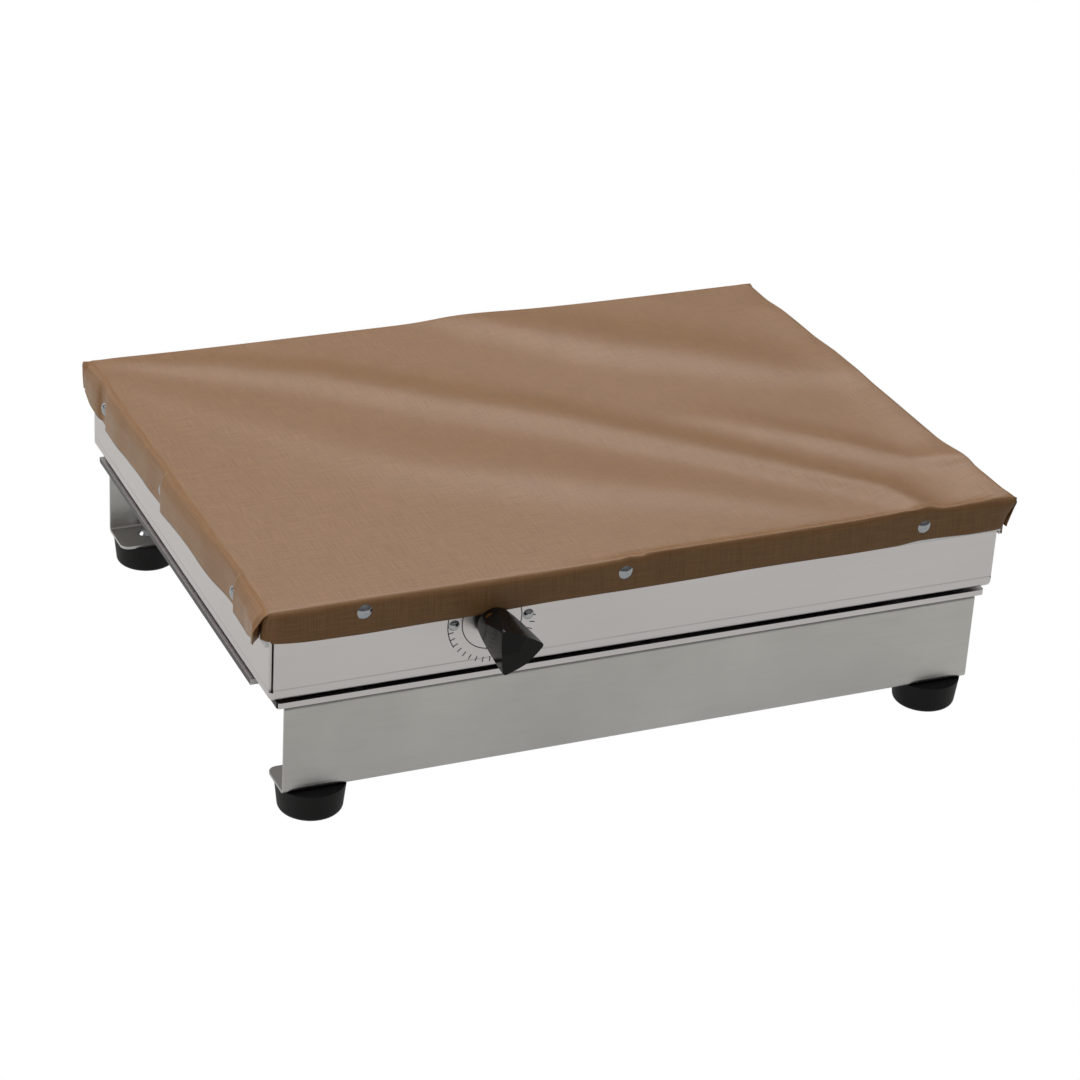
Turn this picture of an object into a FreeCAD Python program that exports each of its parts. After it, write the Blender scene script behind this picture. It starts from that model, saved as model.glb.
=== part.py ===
import FreeCAD, Part
import math
import os

# Heated bench plate: a folded tray with a heating plate on it, a coated glass cloth over the
# plate, and two folded channels with rubber feet under it.
# Millimetres. X to the right, Y to the back, Z up. The knob is on the front, which faces -Y.
# The pieces are drawn about the middle of the tray and moved when they are saved, so that the
# origin lies on the surface the feet stand on, halfway from the knob's end to the gland's end.

V = FreeCAD.Vector
X_AXIS = V(1, 0, 0)
Y_AXIS = V(0, 1, 0)
Z_AXIS = V(0, 0, 1)

# Tray, folded from sheet
tray_width = 400.0
tray_depth = 300.0
tray_height = 47.15
tray_sheet = 1.2
tray_bend = 3.0
corner_notch = 2.0
notch_start = 5.0

# Feet, rails and the sheet under the tray
foot_height = 15.5
foot_top_radius = 18.0
foot_bottom_radius = 16.3
foot_edge = 3.0
foot_inset_x = 26.5
foot_from_web = 10.5
rail_height = 50.0
rail_end_inset = 8.5
rail_flange = 25.0
rail_sheet = 1.5
rail_bend = 3.0
rail_corner = 5.0
rail_inset = 1.8
base_sheet = 3.0
base_gap = 1.5
base_inset = 4.2
base_front_inset = 0.3
base_side_lap = 0.5
base_notch_front = 27.0
base_notch_rear = 14.0
base_corner = 2.0

# Heating plate, a folded lid whose rim goes down outside the tray walls
plate_sheet = 2.0
plate_rim = 15.5
plate_side_rim = 19.0
plate_bend = 3.0
plate_clearance = 0.3
plate_lift = 0.35

# Cloth over the plate, folded down on four sides. A hem is how far the cloth hangs down at a
# side's first end, at each rivet, halfway between two rivets and at its other end. Slack is
# how far the hem stands off at the first end, between the rivets and at the other end.
cloth_thickness = 0.35
cloth_clearance = 0.02
front_hem = (16.5, 18.1, 15.9, 16.2, 14.6, 14.0, 14.4)
rear_hem = (15.0, 16.6, 14.6, 16.0, 15.2, 16.8, 14.6)
side_hem = (15.5, 20.1, 19.8, 22.0, 14.9, 24.1, 17.3)
front_slack = (0.0, 0.3, 1.1, 0.0)
rear_slack = (0.0, 1.0, 1.0, 0.0)
side_slack = (2.8, 2.3, 1.7, 2.6)
rivet_hold = 6.0
cloth_slit = 0.4
tuck_length = 13.0
tuck_short = 4.0
tuck_level = 5.0

# Rivets through cloth, rim and tray wall
rivet_shank = 2.0
rivet_head = 4.0
rivet_dome = 1.7
rivet_drop = 5.8
rivet_side_drop = 13.5
rivet_tail = 2.9
rivet_tail_length = 3.0
rivet_from_left = 46.5
rivet_from_right = 47.5
rivet_middle_x = -16.0
rivet_from_front = 48.0
rivet_from_rear = 32.0
rivet_middle_y = 14.0

# Control
dial_from_left = 114.0
dial_z = 27.0
screw_pitch = 39.4
spindle_radius = 3.0
spindle_flat = 1.5
spindle_length = 37.0
spindle_inside = 13.0
spindle_end_gap = 0.5
spindle_chamfer = 0.5
spindle_flat_start = 1.5
running_gap = 0.05
bush_radius = 5.0
bush_reach = 1.3
wall_hole_gap = 0.25
knob_gap = 0.65
knob_length = 31.5
knob_back_radius = 8.7
knob_front_radius = 14.4
knob_corner_radius = 14.6
knob_side_apothem = 8.6
knob_edge = 1.6
knob_turn = 4.0
knob_facet_slope = 9.0
knob_bore_depth = 20.5
grub_radius = 2.0
grub_from_back = 4.8
grub_recess = 0.4
grub_slot_width = 0.7
grub_slot_depth = 0.9
grub_slot_turn = 30.0
thermostat_screw_margin = 3.3
thermostat_flange_height = 24.0
thermostat_flange_sheet = 1.5
thermostat_side_inset = 5.0
thermostat_height = 23.0
thermostat_depth = 25.0
thermostat_edge = 1.5
tab_width = 6.3
tab_thickness = 0.8
tab_length = 7.0
small_screw = 1.5
small_head = 2.9
small_head_height = 1.8
small_screw_length = 6.0

# Heating element and what holds it
element_radius = 3.2
element_legs = 6
element_from_side = 40.0
element_from_front = 37.5
element_seat_gap = 0.1
end_insulator_radius = 3.0
end_insulator_length = 9.0
terminal_radius = 1.5
terminal_length = 9.0
clamp_width = 14.0
clamp_sheet = 1.5
clamp_end_gap = 25.0
clamp_corner = 3.0
clamp_from_side = 70.0
clamp_names = ("left", "middle", "right")
stud_radius = 2.0
stud_length = 13.0
stud_from_front = 60.0
stud_hole_gap = 0.25
nut_height = 3.2
nut_across = 7.0

# Insulation, bulb and wiring terminals
board_side_gap = 15.0
board_end_gap = 42.0
board_thickness = 24.0
board_corner = 6.0
bulb_radius = 3.0
bulb_length = 90.0
bulb_edge = 1.0
bulb_x = -59.0
bulb_y = -45.0
bulb_seat_gap = 0.1
capillary_radius = 1.0
capillary_z = 101.0
capillary_bend = 5.0
capillary_side = 12.0
capillary_rear = 14.0
clip_width = 12.0
clip_sheet = 0.8
clip_foot = 6.0
block_width = 34.0
block_depth = 20.0
block_height = 17.0
block_from_right = 138.0
block_from_rear = 14.0
block_ways = 3
block_wire_hole = 2.2
block_wire_height = 0.45
block_screw_hole = 1.8
block_screw_inset = 0.25
earth_from_right = 42.0
earth_from_rear = 18.0
earth_radius = 2.5
earth_length = 14.0
earth_nut_height = 4.0
earth_nut_across = 8.0
earth_nut_gap = 1.0

# Cable gland in the rear wall
gland_from_right = 80.0
gland_z = 18.0
gland_thread = 8.0
gland_hole_gap = 0.2
gland_bore = 4.5
gland_across = 22.0
gland_flange = 5.0
gland_inside = 9.0
gland_locknut = 4.0
gland_collar = 6.0
gland_collar_radius = 8.2
gland_nut_length = 13.0
gland_seal_length = 6.0
gland_seal_wall = 1.0
gland_dome_radius = 13.75
gland_dome_centre = 2.55

# Screws through rail, base plate, spacer and tray
rail_screw_from_side = 50.0
rail_screw = 2.5
rail_screw_gap = 0.25
rail_head = 4.7
rail_head_height = 2.6
rail_screw_from_web = 14.0
rail_nut_height = 4.0
rail_nut_across = 8.0
spacer_radius = 6.0

# Screws and washers of the feet
foot_screw = 2.5
foot_screw_gap = 0.25
foot_head = 4.7
foot_head_height = 3.2
foot_recess = 8.5
foot_recess_depth = 7.0
foot_washer = 7.5
foot_washer_thickness = 1.2
foot_nut_height = 4.0
foot_nut_across = 8.0

# Length beyond the surface at each end of a cutter that goes right through, and its length
# on both sides of a wall
clear = 5.0
wall_reach = 12.0
screw_end = 1.0

# Levels and faces that follow from the sizes above
rail_bottom = foot_height
rail_top = rail_bottom + rail_height
base_bottom = rail_top
base_top = base_bottom + base_sheet
tray_bottom = base_top + base_gap
tray_floor = tray_bottom + tray_sheet
tray_top = tray_bottom + tray_height
plate_under = tray_top + plate_lift
plate_top = plate_under + plate_sheet
front_face = -tray_depth / 2
rear_face = tray_depth / 2
side_face = tray_width / 2
rim_out = plate_clearance + plate_sheet
cloth_out = rim_out + cloth_clearance + cloth_thickness
cloth_top = plate_top + cloth_clearance + cloth_thickness
cloth_bend = plate_bend + cloth_clearance + cloth_thickness
cloth_flat_x = side_face + cloth_out - cloth_bend
cloth_flat_y = -front_face + cloth_out - cloth_bend
rivet_x = (rivet_from_left - side_face, rivet_middle_x, side_face - rivet_from_right)
rivet_y = (front_face + rivet_from_front, rivet_middle_y, rear_face - rivet_from_rear)
dial_x = dial_from_left - side_face
thermostat_flange_width = screw_pitch + 2 * thermostat_screw_margin
thermostat_width = thermostat_flange_width - 2 * thermostat_side_inset
spindle_z = tray_bottom + dial_z
spindle_at = V(dial_x, 0, spindle_z)
knob_back = front_face - cloth_out - knob_gap
element_z = plate_under - element_seat_gap - element_radius
element_pitch = (tray_depth - 2 * element_from_front) / (element_legs - 1)
element_straight = tray_width - 2 * element_from_side
clamp_top = plate_under - 2 * element_seat_gap - 2 * element_radius
clamp_length = tray_depth - 2 * clamp_end_gap
clamp_x = (clamp_from_side - side_face, 0, side_face - clamp_from_side)
stud_y = (front_face + stud_from_front, 0, rear_face - stud_from_front)
board_width = tray_width - 2 * board_side_gap
board_depth = tray_depth - 2 * board_end_gap
block_x = side_face - block_from_right
earth_x = side_face - earth_from_right
gland_x = side_face - gland_from_right
rail_length = tray_width - 2 * rail_end_inset
rail_screw_x = (rail_screw_from_side - side_face, 0, side_face - rail_screw_from_side)
inner_front = front_face + tray_sheet
inner_rear = rear_face - tray_sheet
knob_end = knob_back - knob_length
gland_end = rear_face + gland_flange + gland_nut_length
origin_shift = V(0, -(knob_end + gland_end) / 2, 0)
web_front = front_face + rail_inset
web_rear = rear_face - rail_inset


def block(x0, x1, y0, y1, z0, z1):
    return Part.makeBox(x1 - x0, y1 - y0, z1 - z0, V(x0, y0, z0))


def rod(radius, length, start, direction):
    return Part.makeCylinder(radius, length, start, direction)


def hexagon(across, height, start, direction):
    corner = across / math.sqrt(3)
    points = [V(corner * math.cos(math.radians(a)), corner * math.sin(math.radians(a)), 0)
              for a in range(0, 361, 60)]
    solid = Part.Face(Part.makePolygon(points)).extrude(V(0, 0, height))
    solid.Placement = FreeCAD.Placement(start, FreeCAD.Rotation(Z_AXIS, direction))
    return solid


def turned(profile, bulge, start, direction):
    # solid of revolution: corners as (radius, height) from the axis and back to it,
    # with a domed end through the bulge point
    points = [V(r, 0, h) for r, h in profile]
    edges = [Part.LineSegment(points[i], points[i + 1]).toShape()
             for i in range(len(points) - 2)]
    edges.append(Part.Arc(points[-2], V(bulge[0], 0, bulge[1]), points[-1]).toShape())
    edges.append(Part.LineSegment(points[-1], points[0]).toShape())
    solid = Part.Face(Part.Wire(edges)).revolve(V(0, 0, 0), Z_AXIS, 360)
    solid.Placement = FreeCAD.Placement(start, FreeCAD.Rotation(Z_AXIS, direction))
    return solid


def dome_point(radius, height):
    # a point half way round the arc of a dome
    sphere = (radius ** 2 + height ** 2) / (2 * height)
    half = math.asin(radius / sphere) / 2
    return sphere * math.sin(half), height - sphere + sphere * math.cos(half)


def edges_along(shape, axis, test):
    # straight edges parallel to an axis whose middle passes a test
    found = []
    for edge in shape.Edges:
        if not isinstance(edge.Curve, Part.Line):
            continue
        if abs(abs(edge.tangentAt(edge.FirstParameter).dot(axis)) - 1) > 1e-6:
            continue
        if test(edge.CenterOfMass):
            found.append(edge)
    return found


def lying_edges(shape, z):
    # the edges of a shape that lie wholly at one height
    return [e for e in shape.Edges
            if abs(e.BoundBox.ZMin - z) < 1e-4 and abs(e.BoundBox.ZMax - z) < 1e-4]


def group(shapes):
    return Part.makeCompound(shapes)


def save(name, shape):
    shape.translate(origin_shift)
    shape.exportStep("parts/" + name + ".step")


def pan(width, depth, z_low, z_high, bend, closed_low):
    # a box whose upright corners and closed end have one bend radius
    solid = block(-width / 2, width / 2, -depth / 2, depth / 2, z_low, z_high)
    solid = solid.makeFillet(bend, edges_along(solid, Z_AXIS, lambda c: True))
    return solid.makeFillet(bend, lying_edges(solid, z_low if closed_low else z_high))


def corner_cut(half_width, half_depth, notch, z_low, z_high):
    # four upright square notches, one at each corner of a folded sheet
    cuts = []
    for sx in (-1, 1):
        for sy in (-1, 1):
            x = sorted((sx * (half_width + 1), sx * (half_width - notch)))
            y = sorted((sy * (half_depth + 1), sy * (half_depth - notch)))
            cuts.append(block(x[0], x[1], y[0], y[1], z_low, z_high))
    return cuts


def wall_hole(radius, at):
    # cutter of a hole through the front or the rear wall and what lies against it
    return rod(radius, 2 * wall_reach, at - Y_AXIS * wall_reach, Y_AXIS)


def band_cut(half_width, half_depth, reach, z_low, z_high):
    # shortens the front and rear bands of a folded lid
    cuts = []
    for s in (-1, 1):
        y = sorted((s * (half_depth + 1), s * (half_depth - reach)))
        cuts.append(block(-half_width - 1, half_width + 1, y[0], y[1], z_low, z_high))
    return cuts


def rivet_places():
    # middle of each rivet on the tray wall, with the direction it faces
    z = plate_top - rivet_drop
    places = [(V(x, front_face, z), V(0, -1, 0)) for x in rivet_x]
    places += [(V(x, rear_face, z), V(0, 1, 0)) for x in rivet_x]
    z = plate_top - rivet_side_drop
    places += [(V(-side_face, y, z), V(-1, 0, 0)) for y in rivet_y]
    places += [(V(side_face, y, z), V(1, 0, 0)) for y in rivet_y]
    return places


def rivet_holes():
    return [rod(rivet_shank + running_gap, 2 * wall_reach, at - out * wall_reach, out)
            for at, out in rivet_places()]


def dial_screw_places():
    return [V(dial_x + s * screw_pitch / 2, front_face, spindle_z) for s in (-1, 1)]


def rail_screw_places():
    places = [V(x, web_front + rail_screw_from_web, 0) for x in rail_screw_x]
    places += [V(x, web_rear - rail_screw_from_web, 0) for x in rail_screw_x]
    return places


def foot_places():
    x = side_face - foot_inset_x
    y_front = web_front + foot_from_web
    y_rear = web_rear - foot_from_web
    return {"front_left": V(-x, y_front, 0), "front_right": V(x, y_front, 0),
            "rear_left": V(-x, y_rear, 0), "rear_right": V(x, y_rear, 0)}


def make_tray():
    outer = pan(tray_width, tray_depth, tray_bottom, tray_top, tray_bend, True)
    inner = pan(tray_width - 2 * tray_sheet, tray_depth - 2 * tray_sheet,
                tray_floor, tray_top + clear, tray_bend - tray_sheet, True)
    cuts = [inner]
    cuts += corner_cut(side_face, -front_face, corner_notch,
                       tray_bottom + notch_start, tray_top + clear)
    cuts += rivet_holes()
    cuts.append(wall_hole(bush_radius + wall_hole_gap, spindle_at + V(0, front_face, 0)))
    cuts += [wall_hole(small_screw + running_gap, at) for at in dial_screw_places()]
    cuts.append(wall_hole(gland_thread + gland_hole_gap, gland_at()))
    cuts += [rod(rail_screw + rail_screw_gap, 2 * clear, at + Z_AXIS * (tray_bottom - clear), Z_AXIS)
             for at in rail_screw_places()]
    return outer.cut(cuts)


def make_heating_plate():
    width = tray_width + 2 * rim_out
    depth = tray_depth + 2 * rim_out
    low = plate_top - plate_side_rim
    outer = pan(width, depth, low, plate_top, plate_bend, False)
    inner = pan(width - 2 * plate_sheet, depth - 2 * plate_sheet, low - clear, plate_under,
                plate_bend - plate_sheet, False)
    cuts = [inner]
    cuts += corner_cut(width / 2, depth / 2, plate_bend, low - clear, plate_top - plate_bend)
    cuts += band_cut(width / 2, depth / 2, plate_bend, low - clear, plate_top - plate_rim)
    cuts += rivet_holes()
    return outer.cut(cuts)


def wave_section(start, end, hem, bulge):
    # the hem between two rivets: places along the side with drop and slack, which steer a
    # curve of fourth degree; its middle point carries 6 of 16 parts of the height halfway
    first, middle, last = hem
    peak = (16 * middle - 5 * first - 5 * last) / 6
    drops = (first, first, peak, last, last)
    slacks = (0, 0, bulge * 16 / 6, 0, 0)
    return [(start + (end - start) * i / 4, drops[i], slacks[i]) for i in range(5)]


def open_section(corner, end, first, last, bulge):
    # the hem between a corner, where the flap stands off, and the nearest rivet
    drops = (first, (first + last) / 2, last, last)
    slacks = (bulge, bulge, 0, 0)
    return [(corner + (end - corner) * i / 3, drops[i], slacks[i]) for i in range(4)]


def hem_sections(half, rivets, hem, slack):
    # one side from end to end: open ends, waves between the rivets, flat under each rivet
    sections = []
    for i, at in enumerate(rivets):
        drop = hem[2 * i + 1]
        sections.append([(at - rivet_hold, drop, 0), (at + rivet_hold, drop, 0)])
    for i in range(2):
        sections.append(wave_section(rivets[i] + rivet_hold, rivets[i + 1] - rivet_hold,
                                     hem[2 * i + 1:2 * i + 4], slack[i + 1]))
    sections.append(open_section(-half, rivets[0] - rivet_hold, hem[0], hem[1], slack[0]))
    sections.append(open_section(half, rivets[-1] + rivet_hold, hem[-1], hem[-2], slack[-1]))
    return sections


def ring_face(points):
    return Part.Face(Part.makePolygon(points + points[:1]))


def strip_face(rows):
    # a face between two rows of points: straight from row to row, and each row steers a curve
    if len(rows[0]) == 2:
        return ring_face(rows[0] + rows[1][::-1])
    order = len(rows[0])
    surface = Part.BSplineSurface()
    surface.buildFromPolesMultsKnots(rows, [2, 2], [order, order], [0.0, 1.0], [0.0, 1.0],
                                     False, False, 1, order - 1)
    return surface.toShape()


def flat_top(depth):
    x, y, z = cloth_flat_x, cloth_flat_y, cloth_top - depth
    return ring_face([V(-x, -y, z), V(x, -y, z), V(x, y, z), V(-x, y, z)])


def flap_rows(side, depth):
    # steering points of the cloth that hangs down one side, section by section: a row along
    # the bend and a row along the hem. The depth is 0 for the sheet's outer face and its
    # thickness for the inner one.
    out, run, half_out, half_run, rivets, hem, slack, slit = side
    face = half_out + cloth_bend - depth
    strips = []
    for section in hem_sections(half_run, rivets, hem, slack):
        bend_row, hem_row = [], []
        for at, drop, bulge in section:
            bend_row.append(out * face + run * at + Z_AXIS * (cloth_top - cloth_bend))
            place = at * (1 - slit / half_run) if abs(at) == half_run else at
            hem_row.append(out * (face + bulge) + run * place + Z_AXIS * (cloth_top - drop))
        strips.append((bend_row, hem_row))
    return strips


def bend_arc(side, end, depth):
    # a quarter turn over the edge of the plate at one end of a side
    out, run, half_out, half_run = side[:4]
    centre = out * half_out + run * end * half_run + Z_AXIS * (cloth_top - cloth_bend)
    radius = cloth_bend - depth
    return Part.Arc(centre + Z_AXIS * radius, centre + (out + Z_AXIS) * radius * math.sqrt(0.5),
                    centre + out * radius).toShape()


def corner_faces(side, end, outer, inner):
    # the end of a front or rear flap turned round the corner, and its tuck under the side flap
    out, run, half_out, half_run = side[:4]
    axis = out * half_out + run * end * half_run
    angle = 90 * end * (1 if out.y < 0 else -1)
    tuck_z = cloth_top - cloth_bend - tuck_level
    faces = []
    tucks = []
    for (top, low), depth in ((outer, 0), (inner, cloth_thickness)):
        middle = V(top.x, top.y, tuck_z)
        faces.append(bend_arc(side, end, depth).revolve(axis, Z_AXIS, angle))
        faces.append(Part.LineSegment(top, middle).toShape().revolve(axis, Z_AXIS, angle))
        faces.append(Part.LineSegment(middle, low).toShape().revolve(axis, Z_AXIS, angle))
        edge = axis + run * end * (cloth_bend - depth)
        top, upper, lower = [V(edge.x, edge.y, p.z) for p in (top, middle, low)]
        tuck = [upper, upper - out * tuck_short, lower - out * tuck_length, lower]
        faces.append(ring_face(tuck))
        tucks.append([top] + tuck)
    hem = Part.LineSegment(outer[1], inner[1]).toShape()
    faces.append(hem.revolve(axis, Z_AXIS, angle))
    for i in range(4):
        faces.append(ring_face([tucks[0][i], tucks[0][i + 1], tucks[1][i + 1], tucks[1][i]]))
    return faces


def make_cloth():
    faces = [flat_top(0), flat_top(cloth_thickness)]
    across = (X_AXIS, cloth_flat_y, cloth_flat_x, rivet_x)
    lengthwise = (Y_AXIS, cloth_flat_x, cloth_flat_y, rivet_y)
    sides = [(V(0, -1, 0),) + across + (front_hem, front_slack, 0),
             (Y_AXIS,) + across + (rear_hem, rear_slack, 0),
             (V(-1, 0, 0),) + lengthwise + (side_hem, side_slack, cloth_slit),
             (X_AXIS,) + lengthwise + (side_hem, side_slack, cloth_slit)]
    for side in sides:
        run, half_run = side[1], side[3]
        for depth in (0, cloth_thickness):
            faces.append(bend_arc(side, -1, depth).extrude(run * 2 * half_run))
        outer, inner = flap_rows(side, 0), flap_rows(side, cloth_thickness)
        for strip in outer + inner:
            faces.append(strip_face(strip))
        for outer_strip, inner_strip in zip(outer, inner):
            faces.append(strip_face((outer_strip[1], inner_strip[1])))
        for end in (-1, 1):
            # the open sections come last, and start at their corner
            last = -2 if end < 0 else -1
            outer_end = [row[0] for row in outer[last]]
            inner_end = [row[0] for row in inner[last]]
            if side[-1]:
                faces.append(ring_face(outer_end + inner_end[::-1]))
            else:
                faces += corner_faces(side, end, outer_end, inner_end)
    shell = Part.makeShell(faces)
    shell.sewShape()
    solid = Part.Solid(shell)
    if solid.Volume < 0:
        solid.reverse()
    return solid.cut(rivet_holes())


def make_rivets():
    inside = -(cloth_out + tray_sheet)
    tail_end = inside - rivet_tail_length
    profile = [(0, tail_end), (rivet_tail, tail_end), (rivet_tail, inside), (rivet_shank, inside),
               (rivet_shank, 0), (rivet_head, 0), (0, rivet_dome)]
    bulge = dome_point(rivet_head, rivet_dome)
    return group([turned(profile, bulge, at + out * cloth_out, out)
                  for at, out in rivet_places()])


def make_rail(front):
    # channel with its web outside and both flanges turned inwards
    y0, y1 = web_front, web_front + rail_flange
    half = rail_length / 2
    outer = block(-half, half, y0, y1, rail_bottom, rail_top)
    outer = outer.makeFillet(rail_bend, edges_along(outer, X_AXIS, lambda c: abs(c.y - y0) < 1e-6))
    inner_y = y0 + rail_sheet
    inner = block(-half - clear, half + clear, inner_y, y1 + clear, rail_bottom + rail_sheet,
                  rail_top - rail_sheet)
    inner = inner.makeFillet(rail_bend - rail_sheet,
                             edges_along(inner, X_AXIS, lambda c: abs(c.y - inner_y) < 1e-6))
    rail = outer.cut(inner)
    free = edges_along(rail, Z_AXIS,
                       lambda c: abs(c.y - y1) < 1e-6 and abs(abs(c.x) - half) < 1e-6)
    rail = rail.makeFillet(rail_corner, free)
    cuts = []
    for x in rail_screw_x:
        cuts.append(rod(rail_screw + rail_screw_gap, 2 * clear,
                        V(x, y0 + rail_screw_from_web, rail_top - clear), Z_AXIS))
    for x in (foot_inset_x - side_face, side_face - foot_inset_x):
        cuts.append(rod(foot_screw + foot_screw_gap, 2 * clear,
                        V(x, y0 + foot_from_web, rail_bottom - clear), Z_AXIS))
    rail = rail.cut(cuts)
    if front:
        return rail
    return rail.mirror(V(0, 0, 0), Y_AXIS)


def make_base_plate():
    # wider between the rails, cut back at each end above them
    narrow = side_face - base_inset
    wide = side_face + base_side_lap
    y_end = -front_face - base_front_inset
    sheet = block(-narrow, narrow, -y_end, y_end, base_bottom, base_top)
    sheet = sheet.makeFillet(base_corner, edges_along(sheet, Z_AXIS, lambda c: True))
    middle = block(-wide, wide, front_face + base_notch_front, rear_face - base_notch_rear,
                   base_bottom, base_top)
    sheet = sheet.fuse(middle).removeSplitter()
    holes = [rod(rail_screw + rail_screw_gap, 2 * clear, at + Z_AXIS * (base_bottom - clear), Z_AXIS)
             for at in rail_screw_places()]
    return sheet.cut(holes)


def make_base_spacers():
    solids = []
    for at in rail_screw_places():
        ring = rod(spacer_radius, base_gap, at + Z_AXIS * base_top, Z_AXIS)
        hole = rod(rail_screw + rail_screw_gap, base_gap, at + Z_AXIS * base_top, Z_AXIS)
        solids.append(ring.cut(hole))
    return group(solids)


def dome_screw(radius, length, head_radius, head_height, seat, out):
    # screw with a domed head: the head stands on the seat and faces out
    profile = [(0, -length), (radius, -length), (radius, 0), (head_radius, 0), (0, head_height)]
    return turned(profile, dome_point(head_radius, head_height), seat, out)


def make_rail_screws():
    grip = rail_sheet + base_sheet + base_gap + tray_sheet
    length = grip + rail_nut_height + screw_end
    seat_z = rail_top - rail_sheet
    return group([dome_screw(rail_screw, length, rail_head, rail_head_height,
                             at + Z_AXIS * seat_z, V(0, 0, -1)) for at in rail_screw_places()])


def nut(across, height, hole, start, direction):
    return hexagon(across, height, start, direction).cut(
        rod(hole + running_gap, height + 2 * clear, start - direction * clear, direction))


def make_rail_nuts():
    return group([nut(rail_nut_across, rail_nut_height, rail_screw, at + Z_AXIS * tray_floor,
                      Z_AXIS) for at in rail_screw_places()])


def make_foot(at):
    cone = Part.makeCone(foot_bottom_radius, foot_top_radius, foot_height, at, Z_AXIS)
    cone = cone.makeFillet(foot_edge, lying_edges(cone, 0))
    recess = rod(foot_recess, foot_recess_depth + clear, at - Z_AXIS * clear, Z_AXIS)
    hole = rod(foot_screw + foot_screw_gap, foot_height + 2 * clear, at - Z_AXIS * clear, Z_AXIS)
    return cone.cut([recess, hole])


def make_foot_screws():
    seat_z = rail_bottom + rail_sheet
    reach = seat_z - foot_recess_depth + foot_washer_thickness + foot_nut_height + screw_end
    return group([dome_screw(foot_screw, reach, foot_head, foot_head_height,
                             at + Z_AXIS * seat_z, Z_AXIS) for at in foot_places().values()])


def make_foot_washers():
    solids = []
    for at in foot_places().values():
        low = at + Z_AXIS * (foot_recess_depth - foot_washer_thickness)
        ring = rod(foot_washer, foot_washer_thickness, low, Z_AXIS)
        solids.append(ring.cut(rod(foot_screw + foot_screw_gap, foot_washer_thickness, low, Z_AXIS)))
    return group(solids)


def make_foot_nuts():
    low = foot_recess_depth - foot_washer_thickness - foot_nut_height
    return group([nut(foot_nut_across, foot_nut_height, foot_screw, at + Z_AXIS * low, Z_AXIS)
                  for at in foot_places().values()])


def make_thermostat_body():
    flange = block(dial_x - thermostat_flange_width / 2, dial_x + thermostat_flange_width / 2,
                   inner_front, inner_front + thermostat_flange_sheet,
                   spindle_z - thermostat_flange_height / 2,
                   spindle_z + thermostat_flange_height / 2)
    body_front = inner_front + thermostat_flange_sheet
    body = block(dial_x - thermostat_width / 2, dial_x + thermostat_width / 2,
                 body_front, body_front + thermostat_depth,
                 spindle_z - thermostat_height / 2, spindle_z + thermostat_height / 2)
    body = body.makeFillet(thermostat_edge, edges_along(body, Y_AXIS, lambda c: True))
    bush = rod(bush_radius, bush_reach + tray_sheet + thermostat_flange_sheet,
               spindle_at + V(0, front_face - bush_reach, 0), Y_AXIS)
    rear = body_front + thermostat_depth
    tabs = []
    for column in (-1, 1):
        for row in (-1, 1):
            x = dial_x + column * thermostat_width / 4
            z = spindle_z + row * thermostat_height / 4
            tabs.append(block(x - tab_width / 2, x + tab_width / 2, rear, rear + tab_length,
                              z - tab_thickness / 2, z + tab_thickness / 2))
    solid = flange.fuse([body, bush] + tabs).removeSplitter()
    bore = rod(spindle_radius + running_gap, bush_reach + tray_sheet + spindle_inside,
               spindle_at + V(0, front_face - bush_reach, 0), Y_AXIS)
    holes = [wall_hole(small_screw + running_gap, at) for at in dial_screw_places()]
    return solid.cut([bore] + holes)


def knob_direction():
    # the corner of the knob that carries the grub screw, and the spindle's flat
    angle = math.radians(knob_turn + 120)
    return V(math.cos(angle), 0, math.sin(angle))


def make_spindle():
    start = spindle_at + V(0, inner_front + spindle_inside - spindle_end_gap, 0)
    shaft = rod(spindle_radius, spindle_length, start, V(0, -1, 0))
    tip = shaft.BoundBox.YMin
    shaft = shaft.makeChamfer(spindle_chamfer, [e for e in shaft.Edges
                                                if abs(e.BoundBox.YMin - tip) < 1e-4
                                                and abs(e.BoundBox.YMax - tip) < 1e-4])
    cutter = block(spindle_flat, spindle_flat + clear, tip - clear, knob_back - spindle_flat_start,
                   -clear, clear)
    cutter.rotate(V(0, 0, 0), Y_AXIS, -(knob_turn + 120))
    cutter.translate(spindle_at)
    return shaft.cut(cutter)


def knob_corner(index, radius):
    angle = math.radians(knob_turn + 120 * index)
    return V(radius * math.cos(angle), 0, radius * math.sin(angle))


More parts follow.
